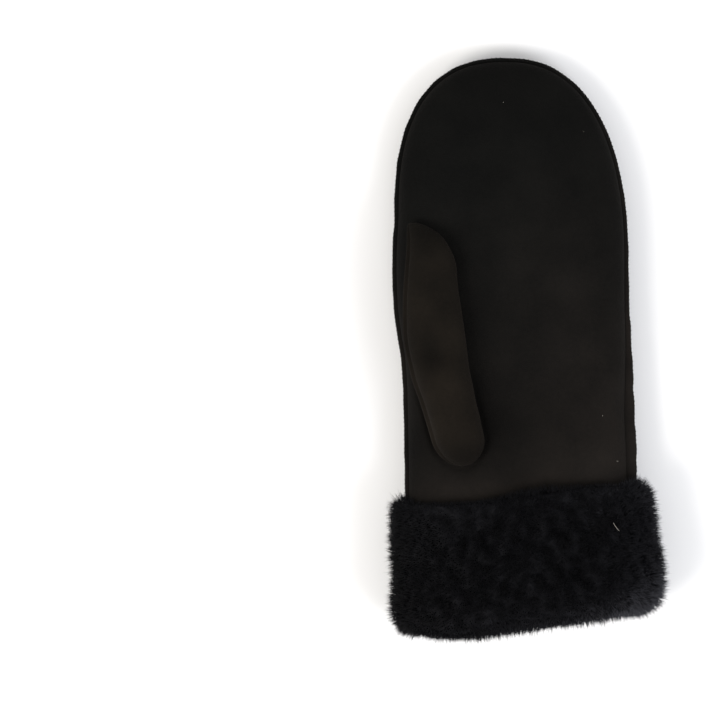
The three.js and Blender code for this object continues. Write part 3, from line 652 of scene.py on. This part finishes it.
def thumbGrid(steps, turns, inset):
    # Closed loops round the thumb: rounded sections of the table's width and height, standing on the
    # palm, closed by quarter rounds at both ends, with a sewn rib along the outer side.
    even = (1 - np.cos(np.linspace(0, np.pi, steps))) / 2
    share = (thumb["evenSteps"] * np.linspace(0, 1, steps) + (1 - thumb["evenSteps"]) * even)[:, None]
    along = inset / thumb["length"] + (1 - 2 * inset / thumb["length"]) * share
    tipClosing = endRound(1 - share, thumb["tipRound"])
    closing = endRound(share, thumb["baseRound"]) * tipClosing
    turn = fullTurn(turns)[None, :]
    c, s = np.cos(turn), np.sin(turn)
    fullHalf = thumb["width"] / 2 * smoothColumn(thumbTable, "width", along)
    half = np.maximum(fullHalf - inset, 0) * closing
    skew = -thumb["tipSkew"] * fullHalf * (1 - tipClosing)
    full = thumb["height"] * smoothColumn(thumbTable, "height", along) / 2
    rise = np.maximum(full - inset, 0) * closing
    sink = thumb["sink"] * smoothColumn(thumbTable, "sink", along)
    power = 2 / thumb["roundness"]
    across = half * signedPower(c, power)
    height = full + rise * signedPower(s, power)
    for place, side, depth, reach in thumbDents:
        far = np.hypot((along - place) / reach, (across / (thumb["width"] / 2) - side) / thumb["dentReach"])
        height = height - np.maximum(s, 0) * thumb["height"] * depth * bell(far)
    stretched = full + (height - full) * (1 + sink / (2 * full))
    plan = thumbPlan(along + 0 * turn, skew + across)
    middle = thumbPlan(along, skew)
    under = palmFace(middle[..., 0], middle[..., 1])
    beside = palmFace(plan[..., 0], plan[..., 1])
    under = under + (beside - under) * thumb["follow"]
    points = np.concatenate([plan, (under + stretched - sink / 2 + thumb["lift"])[..., None]], -1)
    if inset > 0:
        return points
    swell = unevenness(points, thumb["unevenness"])
    fromRib = (turn - np.radians(thumb["ribTurnDeg"])) * (full + half) / 2 / thumb["ribHalfWidth"]
    grooveDepth, grooveOff = thumb["ribGroove"]
    rib = bell(fromRib) - grooveDepth * bell(fromRib + grooveOff)
    outwards = np.concatenate([c, c, s], 0).T[None] * np.array([*thumbAcross, 1.0])
    return points + outwards * ((swell + rib * thumb["ribHeight"]) * closing)[..., None]


def tubePiece(name, points):
    rows, columns = points.shape[:2]
    return closePiece(meshPiece(name, points, [gridFaces(rows, columns, loopColumns=True)], thumbSuede))


def cutPiece(piece, cutter):
    # Takes the cutter's space out of the piece, then deletes the cutter.
    cut = piece.modifiers.new("cut", "BOOLEAN")
    cut.operation, cut.solver, cut.object = "DIFFERENCE", "MANIFOLD", cutter
    view = bpy.context.evaluated_depsgraph_get()
    cutMesh = bpy.data.meshes.new_from_object(piece.evaluated_get(view))
    piece.modifiers.clear()
    piece.data = cutMesh
    bpy.data.objects.remove(cutter)
    return piece


def holeCutter():
    # The opening in the palm under the thumb: an oval prism along the thumb's line.
    half = thumb["width"] / 2 - thumb["holeMargin"]
    straight = thumb["holeLength"] / 2 - half
    turn = fullTurn(64)
    oval = np.stack([half * np.cos(turn), half * np.sin(turn) + np.sign(np.sin(turn)) * straight], -1)
    along = (thumb["holeMargin"] + thumb["holeLength"] / 2) / thumb["length"]
    middle, ahead = thumbPlan(np.array(along), np.array(0.0)), thumbPlan(np.array(along + 0.1), np.array(0.0))
    up = unit(ahead - middle)
    flat = middle + oval[:, :1] * np.array([up[1], -up[0]]) + oval[:, 1:] * up
    rows = [np.concatenate([flat, np.full((64, 1), z)], -1) for z in (0.018, 0.06)]
    centres = [np.array([[*middle, z]]).repeat(64, 0) for z in (0.018, 0.06)]
    points = np.stack([centres[0], rows[0], rows[1], centres[1]])
    return tubePiece("hole", points)


def underPalm():
    # The space below the palm's face and just over it, which the thumb's foot doesn't enter.
    x, y = np.meshgrid(np.linspace(-0.075, 0.0, 120), np.linspace(-0.075, 0.08, 220))
    inside = np.clip(x, sideX(arches["thumb"], y, 0.0) + 0.0002, None)
    top = np.stack([x, y, palmFace(inside, y) + hand["gap"]], -1)
    floor = top.copy()
    floor[..., 2] = -0.02
    return closePiece(meshPiece("under_palm", np.concatenate([top, floor]), slabFaces(*x.shape), thumbSuede))


palmPiece = panelPiece("suede_palm", 1, palmFace)
backPiece = panelPiece("suede_back", -1, backFace)
cutPiece(palmPiece, holeCutter())
thumbPiece = tubePiece("suede_thumb", thumbGrid(170, 96, 0.0))
cutPiece(thumbPiece, tubePiece("thumb_hollow", thumbGrid(60, 40, thumb["wall"])))
cutPiece(thumbPiece, underPalm())
# Painted light (lighter) and painted shade (darker) on the suede, among them the shadows beside the thumb and
# in its base's ditch: x, y, reach each way in mm, amount
palmLightAndShade = [
    (-3, 150, 90, 75, -0.31),
    (-68, 85, 14, 60, -0.18),
    (-64, -8, 9, 24, 0.28),
    (-54, -50, 20, 12, -0.27),
    (-57, 20, 5, 45, -0.2),
    (-6, -42, 25, 19, -0.33),
    (-22, 10, 9, 40, -0.22),
    (36, -62, 22, 16, 0.45),
    (32, -20, 26, 42, 0.14),
    (-30, -72, 32, 7, 0.4),
]
thumbLightAndShade = [
    (-43, 4, 24, 62, 0.22),
    (-32, -56, 15, 11, -0.5),
    (-49, -4, 7, 8, -0.52),
    (-38, -31, 9, 8, 0.14),
    (-46, 59, 16, 10, -0.26),
    (-52, 40, 12, 9, 0.1),
]


def markLightAndShade(piece, marks, rimPaintedLight=0.0, sidePaintedShade=0.0):
    # Writes painted light and shade as a point attribute: round bells added up, painted shade where the hide
    # turns down to its sides, and painted light on the seam's rim, more on the little finger side.
    points = np.empty(len(piece.data.vertices) * 3, np.float32)
    piece.data.vertices.foreach_get("co", points)
    x, y, _ = points.reshape(-1, 3).T
    middle, half, *_ = handSection(y)
    onRim = np.abs(x - middle) > half + 0.0002
    falling = np.clip(1 - domeShare(x, middle, half) / 0.7, 0, 1)
    tone = np.where(onRim, rimPaintedLight * (1 + 8 * x), -sidePaintedShade * falling)
    for placeX, placeY, reachX, reachY, amount in marks:
        far = np.hypot((x * 1000 - placeX) / reachX, (y * 1000 - placeY) / reachY)
        tone = tone + amount * bell(far)
    writeTone(piece, "paintedLightAndShade", tone)


markLightAndShade(palmPiece, palmLightAndShade, rimPaintedLight=0.4, sidePaintedShade=0.3)
markLightAndShade(thumbPiece, thumbLightAndShade)
settle(palmPiece, "suede", "palm_panel")
settle(backPiece, "suede", "back_panel")
settle(thumbPiece, "suede", "thumb")
print("suede made")


def roundPoint(turn, yOf, lift, out, swell):
    # Points round the wrist at angles turn (0 at the little finger side, a quarter turn at the palm):
    # the hand's section made wider by out and taller by swell.
    c, s = np.cos(turn), np.sin(turn)
    across = signedPower(c, 2 / hand["crossRoundness"])
    rise = np.abs(s) ** (2 / hand["domeRoundness"])
    middle, half, seam, palm, back = handSection(yOf(centreX + across * halfPalm))
    x = middle + across * (half + out)
    up = seam + lift + rise * (palm + swell)
    down = np.maximum(seam - lift - rise * (back + swell), 0)
    return np.stack([x, yOf(x), np.where(s >= 0, up, down)], -1)


def outsidePoint(turn, yOf, distance):
    return roundPoint(turn, yOf, seamHalf, distance, distance)


def insidePoint(turn, yOf, distance):
    inset = hand["hide"] + distance
    return roundPoint(turn, yOf, hand["gap"] / 2, -inset, hand["seamLayer"] - inset)


def pileDepth(turn, line):
    # Depth of the pile round the wrist: more at the sides, flaring towards the wrist on the little
    # finger side, and less along the parting where the strip's ends meet.
    c = np.cos(turn)
    sidePile = np.where(c > 0, cuff["littleSidePile"] + cuff["flare"] * (1 - line), cuff["thumbSidePile"])
    x = centreX + halfPalm * signedPower(c, 2 / hand["crossRoundness"])
    fromParting = x - (centreX + halfPalm - cuff["partingInset"])
    parted = np.where(np.sin(turn) > 0, bell(fromParting, cuff["partingWidth"]), 0)
    side = np.abs(c) ** 1.6
    return cuff["facePile"] + (sidePile - cuff["facePile"]) * side - cuff["partingDepth"] * parted


def lineY(line):
    return lambda x: cuffEdgeY("wrist", x) + (cuffEdgeY("hand", x) - cuffEdgeY("wrist", x)) * line


def evenTurns(count):
    # Angles round the wrist that divide the pile's face into equal lengths.
    turn = np.linspace(0, 2 * np.pi, 1441)
    ring = outsidePoint(turn, lineY(0.5), cuff["facePile"])
    length = np.concatenate([[0], np.cumsum(np.linalg.norm(np.diff(ring, axis=0), axis=1))])
    return np.interp((np.arange(count) + 0.5) / count * length[-1], length, turn)


pelt = {
    "around": 210,
    "outerRows": 44,
    "innerRows": 14,
    "lineStart": 0.062,  # leaves room for the hair past both edges
    "lineSpan": 0.903,
    "lumps": [(0.0006, 0.011, 41), (0.0002, 0.005, 42)],  # height, wavelength, seed
    "foldRows": [(0.045, -0.0022), (0.047, -0.0008)],  # the fold's round edge: line, distance
    "innerLine": 0.075,
    "tone": 0.5,
}


def peltGrid():
    # The fur's body: rows from the hand edge over the face, round the fold and into the wrist, then
    # back along the hide. Returns the grid, and for each row whether hair grows from it.
    turn = evenTurns(pelt["around"])
    fold = lambda x: cuffEdgeY("wrist", x) + cuff["rimPile"] - hand["gap"]
    innerEnd = lambda x: cuffEdgeY("wrist", x) + cuff["rimPile"] + cuff["innerReach"]
    rows, loose = [], []
    for step in np.linspace(0, 13, pelt["outerRows"]):
        line, pile = (smoothColumn(furProfile, c, step, "step") for c in ("line", "pile"))
        inLine = pelt["lineStart"] + line * pelt["lineSpan"]
        depth = slotGap + pile * (pileDepth(turn, line) - cuff["nap"])
        ring = outsidePoint(turn, lineY(inLine), depth)
        rows.append(outsidePoint(turn, lineY(inLine), depth + unevenness(ring, pelt["lumps"]) * pile))
        loose.append(True)
    inner = cuff["innerPile"] - cuff["nap"] * 0.6
    for line, distance in pelt["foldRows"]:
        rows.append(insidePoint(turn, lineY(line), distance))
        loose.append(True)
    for share in np.linspace(0, 1, pelt["innerRows"]):
        yOf = lambda x, f=share: (lineY(pelt["innerLine"])(x)) * (1 - f) + innerEnd(x) * f
        rows.append(insidePoint(turn, yOf, slotGap + inner * min(1.0, 0.75 + 4 * share)))
        loose.append(True)
    for yOf in (innerEnd, fold):
        rows.append(insidePoint(turn, yOf, slotGap))
        loose.append(False)
    for yOf in (fold, lineY(0.5)):
        rows.append(outsidePoint(turn, yOf, slotGap))
        loose.append(False)
    return np.stack(rows), np.array(loose)


hair = {
    "count": 122000,
    "length": 0.0053,
    "uneven": 0.2,  # spread of the lengths, as a share, and its least and most
    "unevenEnds": (0.55, 1.5),
    "thickness": (0.00018, 0.00030),
    "tuft": 0.05,  # how far neighbours lean together, of the length
    "tuftSize": 0.0030,
    "sweep": 0.15,  # how far whole areas lean
    "sweepSize": 0.026,
    "stray": 0.08,
    "wild": 0.07,  # share of the strands that stray three times as far
    "buried": 0.0008,
    "insideShare": 0.45,  # how densely the turned-in side is set
    "insideLength": 0.55,
    "lengthWaves": [(0.08, 0.007, 71)],  # share of the length, wavelength, seed
    "fuller": 0.28,  # how much longer it is at the cuff's sides, by the wrist
    "trimmed": 0.5,  # how much shorter at the upper edge, within a reach along the cuff's height
    "trimReach": 0.12,
    "untrimmed": (0.65, 0.004, 0.016),  # but not in its middle: share, place and reach across
    "ragged": 0.6,  # nor at its two corners
    "middle": 0.55,  # share of the cuff's half width before its sides begin
    "lift": (0.0003, 0.0002),  # least height of a strand's bend and tip over the table
    "tones": (0.5, 0.8),  # the tips' tone, from strand to strand
}
tipLight = {  # painted light on the tips: its share of the pale tip's tone, its growth with x, least and most
    "face": (0.26, 7, 0.5, 1.0),
    "sides": (0.58, 13, 0.1, 1.7),
    "wristEdge": (1.05, 16, 0.1, 2.2),
    "handEdge": (0.36, 0, 1.0, 1.0),
}


def threeFields(points, wavelength, seed):
    return np.stack([softField(points, wavelength, seed + axis) for axis in range(3)], -1)


def tipLightShare(part, x):
    # How much painted light the tips of a part of the cuff take, more towards the little finger side.
    share, growth, least, most = tipLight[part]
    return share * np.clip(1 + growth * x, least, most)


def strandPieces(grid, loose, pieceNames):
    # Hair over the pelt: each strand is a spindle with one bend, its root anywhere on the grid with
    # equal chance for equal area, leaning with smooth random fields so that neighbours form tufts.
    chance = np.random.default_rng(5)
    count = hair["count"]
    ringed = np.concatenate([grid, grid[:, :1]], 1)
    down, over = np.diff(ringed, axis=0)[:, :-1], np.diff(ringed, axis=1)[:-1]
    cross = np.cross(over, down)
    area = np.linalg.norm(cross, axis=-1)
    weight = area * (loose[:-1] & loose[1:])[:, None]
    weight[pelt["outerRows"] + 4 :] *= hair["insideShare"]
    cell = chance.choice(area.size, count, p=(weight / weight.sum()).ravel())
    i, j = np.unravel_index(cell, area.shape)
    f, g = chance.random((2, count, 1))

    def between(field):
        # The field's value at each root, from the four corners of its cell.
        upper = field[i, j] * (1 - g) + field[i, j + 1] * g
        return upper * (1 - f) + (field[i + 1, j] * (1 - g) + field[i + 1, j + 1] * g) * f

    root = between(ringed)
    outer = i < pelt["outerRows"] - 1
    flat = cross / area[..., None]
    flat = np.concatenate([flat[:1], flat, flat[-1:]])
    rounded = flat[1:] + flat[:-1] + np.roll(flat[1:] + flat[:-1], 1, axis=1)
    normal = unit(between(np.concatenate([rounded, rounded[:, :1]], 1)))
    wristward = np.array([centreX, 0, 0.027]) - root
    wristward[:, 1] = 0
    if np.sum(wristward[outer] * normal[outer]) > 0:
        normal = -normal
    way = normal + hair["tuft"] * threeFields(root, hair["tuftSize"], 50)
    way += hair["sweep"] * threeFields(root, hair["sweepSize"], 60)
    wild = chance.random((count, 1)) < hair["wild"]
    way += hair["stray"] * np.where(wild, 3.0, 1.0) * chance.normal(size=(count, 3))
    way = unit(way)
    spread = np.clip(1 + hair["uneven"] * chance.normal(size=count), *hair["unevenEnds"])
    length = hair["length"] * spread * np.where(outer, 1.0, hair["insideLength"])
    length *= 1 + unevenness(root, hair["lengthWaves"])
    x = root[:, 0]
    fold, edge = (cuffEdgeY(e, np.clip(x, centreX - halfCuff, centreX + halfCuff)) for e in ("wrist", "hand"))
    line = (root[:, 1] - fold) / (edge - fold)
    fromMiddle = (np.abs(x - centreX) / halfCuff - hair["middle"]) / (1 - hair["middle"])
    fromMiddle = np.clip(fromMiddle, 0, 1)
    length *= 1 + hair["fuller"] * fromMiddle * np.clip(1.1 - line, 0, 1)
    kept, keptX, keptReach = hair["untrimmed"]
    trimmed = hair["trimmed"] - kept * bell(x - keptX, keptReach)
    trimmed -= hair["ragged"] * np.clip(5 * fromMiddle - 2.2, 0, 1)  # over a fifth of the side
    length *= 1 - trimmed * bell(np.minimum(line - 0.97, 0), hair["trimReach"])
    thick = chance.uniform(*hair["thickness"], count)
    droop = hair["tuft"] * 1.3 * threeFields(root, hair["tuftSize"] * 1.6, 80)
    root = root - normal * hair["buried"]
    bend = root + way * (length * 0.5)[:, None]
    tip = bend + (way + droop) * (length * 0.5)[:, None]
    for point, lift in zip((bend, tip), hair["lift"]):
        point[:, 2] = np.maximum(point[:, 2], lift)
    side = unit(np.cross(way, chance.normal(size=(count, 3))))
    other = np.cross(way, side)
    ring = [bend + (side * np.cos(t) + other * np.sin(t)) * thick[:, None] / 2 for t in fullTurn(3)]
    points = np.stack([root, *ring, tip], 1)
    corners = np.array([[0, 2, 1], [0, 3, 2], [0, 1, 3], [1, 2, 4], [2, 3, 4], [3, 1, 4]])
    shares = np.array([0.0, 0.45, 0.45, 0.45, 1.0])  # of the tip's tone: root, bend and tip; the dark root is painted shade deep in the pile
    # Painted light on the tips, over the face and more at the borders, more towards the little finger side.
    borderLight = tipLightShare("sides", x) * fromMiddle
    borderLight += tipLightShare("wristEdge", x) * bell(line, 0.2) + tipLightShare("handEdge", x) * bell(1 - line, 0.2)
    light = tipLightShare("face", x) + borderLight * np.where(outer, 1.0, 0.6)
    group = np.arange(count) % len(pieceNames)
    pieces = []
    for number, name in enumerate(pieceNames):
        part = points[group == number]
        faces = (np.arange(len(part)) * 5)[:, None, None] + corners
        piece = meshPiece(name, part, [faces.reshape(-1, 3)], fur)
        tones = shares * chance.uniform(*hair["tones"], (len(part), 1)) * light[group == number, None]
        pieces.append(writeTone(piece, "tipShare", tones))
    return pieces


grid, loose = peltGrid()
peltPiece = meshPiece("fur_pelt", grid, [gridFaces(*grid.shape[:2], loopRows=True, loopColumns=True)], fur)
closePiece(peltPiece)
writeTone(peltPiece, "tipShare", np.full(len(peltPiece.data.vertices), pelt["tone"]))
settle(peltPiece, "fur", "fur_cuff")
for piece in strandPieces(grid, loose, ["fur_hair_1", "fur_hair_2", "fur_hair_3", "fur_hair_4"]):
    settle(piece, "fur", "fur_cuff")
print("fur made")

stitches = {"spacing": 0.0022, "reach": 0.0015, "over": 0.00012, "thickness": 0.00038, "slant": 0.0009}


def thinTubes(name, centres, side, other, girth, material):
    # One piece of many five-sided tubes, from their middle lines, two directions across and radii.
    count, steps, sides = *centres.shape[:2], 5
    turn = fullTurn(sides)[:, None]
    ring = side[:, :, None] * np.cos(turn) + other[:, :, None] * np.sin(turn)
    first = (np.arange(count) * steps * sides)[:, None, None]
    faces = first + gridFaces(steps, sides, loopColumns=True)
    points = centres[:, :, None] + ring * girth[..., None, None]
    return closePiece(meshPiece(name, points, [faces.reshape(-1, 4)], material), 1e-7)


def stitchPiece():
    # Overcast stitch round the edge of the outer seam: each stitch is a thin tube on a boxy half round
    # that starts on the palm's side, goes over the edge and ends on the back's side, a little further on.
    lines, normals = seamEdges(900, 0.0)
    t = np.linspace(-1, 1, 11)
    girth = np.sqrt(np.maximum(1 - t**6, 0)) * stitches["thickness"] / 2
    outwards = np.cos(t * np.pi / 2) ** 0.5
    upwards = signedPower(np.sin(t * np.pi / 2), 0.5)
    upwards[[0, -1]] *= 0.8  # the ends go down into the hide
    tubes = []
    for key, line in lines.items():
        width = seamWidth(key, line)
        keep = line[:, 1] > cuffEdgeY("hand", line[:, 0]) - 0.003
        path, out, width = line[keep], normals[key][keep], width[keep]
        run = np.concatenate([[0], np.cumsum(np.linalg.norm(np.diff(path, axis=0), axis=1))])
        at = np.arange(0.5, int(run[-1] / stitches["spacing"])) * stitches["spacing"]
        x, y, ox, oy, w = (np.interp(at, run, c)[:, None] for c in (*path.T, *out.T, width))
        reach = w - stitches["reach"] + (stitches["reach"] + stitches["thickness"] / 3) * outwards
        ahead = stitches["slant"] / 2 * t
        level = hand["thickness"] * handValue("seam", y) + (seamHalf + stitches["over"]) * upwards
        centres = np.stack([x + ox * reach - oy * ahead, y + oy * reach + ox * ahead, level], -1)
        way = unit(np.gradient(centres, axis=1))
        side = unit(np.cross(way, np.cross(np.stack([-oy, ox, 0 * ox], -1), way)))
        tubes.append(np.stack([centres, side, np.cross(way, side)]))
    return thinTubes("seam_stitches", *np.concatenate(tubes, 1), girth, thread)


settle(stitchPiece(), "suede")
print("stitches made")

paleHairs = {
    "thickness": 0.00014,
    "bow": 0.05,  # of the length
    "overFur": 0.0022,
    "places": [  # x, y, length, direction in degrees, on the fur or not
        (0.0431, -0.0878, 0.0058, 126, True),
        (0.0370, -0.0330, 0.0008, 60, False),
        (0.0446, -0.0558, 0.0009, 150, False),
        (-0.0120, 0.1230, 0.0006, 20, False),
        (0.0280, 0.1085, 0.0005, 95, False),
    ],
}


def paleHairPiece():
    # Loose undyed hairs that have caught in the nap and the fur: thin tubes along shallow arcs.
    t = np.linspace(-1, 1, 9)
    x, y, length, angle, onFur = (np.array(c, float)[:, None] for c in zip(*paleHairs["places"]))
    c, s = np.cos(np.radians(angle)), np.sin(np.radians(angle))
    bow = paleHairs["bow"] * length * (1 - t**2)
    px, py = x + c * t * length / 2 - s * bow, y + s * t * length / 2 + c * bow
    overFur = cuff["facePile"] + paleHairs["overFur"] + 0.1 * length * (1 - t**2)
    pz = palmFace(px, py) + 0.0002 + onFur * overFur
    centres = np.stack([px, py, pz], -1)
    girth = np.sqrt(np.maximum(1 - t**4, 0)) * paleHairs["thickness"] / 2 * (1 + 0.5 * onFur)
    side, up = np.stack([-s, c, 0 * s], -1), np.array([[[0, 0, 1.0]]])
    return thinTubes("pale_hairs", centres, side, up, girth, paleHair)


settle(paleHairPiece(), "fur")
print("loose hairs made")

# The bare patch on the back, in metres
patch = {
    "length": 0.0335,
    "height": 0.0195,
    "thickness": 0.001,
    "corner": 0.002,
    "fromCuff": 0.012,
    "offCentre": 0.007,
    "lineDepth": 0.0003,
    "lineHalfWidth": 0.00035,
    "lineInsets": [0.0012, 0.0024],
    "edgeRound": 0.0004,
}


def patchPiece():
    # A rounded rectangle that follows the back, with two fine lines pressed round its edge.
    rows, columns = 60, 100
    u, v = np.meshgrid(np.linspace(-1, 1, columns), np.linspace(-1, 1, rows))
    halfX, halfY = patch["length"] / 2, patch["height"] / 2
    x, y = u * halfX, v * halfY
    cornerX, cornerY = halfX - patch["corner"], halfY - patch["corner"]
    overX, overY = np.abs(x) - cornerX, np.abs(y) - cornerY
    beyond = (overX > 0) & (overY > 0)
    far = np.hypot(overX, overY)
    squeeze = np.where(beyond, np.maximum(overX, overY) / np.maximum(far, 1e-9), 1.0)
    x = np.where(beyond, np.sign(x) * (cornerX + overX * squeeze), x)
    y = np.where(beyond, np.sign(y) * (cornerY + overY * squeeze), y)
    inside = patch["corner"] - np.where(beyond, far * squeeze, np.maximum(overX, overY))
    pressed = sum(bell(inside - d, patch["lineHalfWidth"]) for d in patch["lineInsets"])
    rounded = patch["edgeRound"] * np.exp(-inside / patch["edgeRound"])
    x, y = x + centreX + patch["offCentre"], y + cuffTopY + patch["fromCuff"] + halfY
    top = backFace(x, y) - hand["gap"]
    low = top - patch["thickness"] + patch["lineDepth"] * pressed + rounded
    points = np.concatenate([np.stack([x, y, top], -1), np.stack([x, y, low], -1)])
    return closePiece(meshPiece("bare_patch", points, slabFaces(rows, columns), leather))


settle(patchPiece(), "label", "label_patch")
print("patch made")

# The view: straight down, as the photo's frame of 720 by 720 pixels at 0.5 mm each
view = {
    "pixel": 0.0005,
    "frame": 720,
    "mittenPixel": (527, 349),  # where the mitten's middle lies in that frame
    "height": 2.2,
    "focusHeight": 0.02,
}


def setCamera():
    camera = newObject("camera", bpy.data.cameras.new("camera"))
    middle = view["frame"] / 2
    x = (middle - view["mittenPixel"][0]) * view["pixel"]
    y = (view["mittenPixel"][1] - middle) * view["pixel"]
    camera.location = (x, y, view["height"])
    camera.data.sensor_width = 36.0
    distance = view["height"] - view["focusHeight"]
    camera.data.lens = 36.0 * distance / (view["frame"] * view["pixel"])
    camera.data.clip_end = 20.0
    bpy.context.scene.camera = camera


def areaLight(name, place, aim, size, power, colour):
    # A square soft light at a place, turned to face its aim.
    lamp = bpy.data.lights.new(name, "AREA")
    lamp.size, lamp.energy, lamp.color = size, power, linear(colour)[:3]
    light = newObject(name, lamp)
    light.location = place
    away = np.array(place) - np.array(aim)
    flat = float(np.hypot(away[0], away[1]))
    light.rotation_euler = (float(np.arctan2(flat, away[2])), 0.0, float(np.arctan2(away[0], -away[1])))


def setStage():
    # A pale matte sheet under the mitten, an even sky, and a soft light from each side of the wrist.
    material, tree, shader, _ = newMaterial("Pale paper sheet")
    feed(tree, shader, {"Base Color": linear("#f4f4f4"), "Roughness": 0.9})
    corners = np.array([[-3, -3, 0], [3, -3, 0], [3, 3, 0], [-3, 3, 0]], float) - [0, 0, 0.0002]
    meshPiece("floor", corners, [np.array([[0, 1, 2, 3]])], material)
    areaLight("key", (-1.2, -0.7, 1.45), (0, 0, 0.02), 0.9, 24, "#fffaf4")
    areaLight("fill", (1.2, -0.9, 1.5), (0, 0, 0.02), 1.0, 22, "#f6f8ff")
    world = bpy.data.worlds.new("sky")
    bpy.context.scene.world = world
    world.use_nodes = True
    sky = world.node_tree.nodes["Background"]
    feed(world.node_tree, sky, {"Color": linear("#ffffff"), "Strength": 0.8})
    bpy.context.scene.view_settings.view_transform = "Standard"


setCamera()
setStage()
print("stage set")
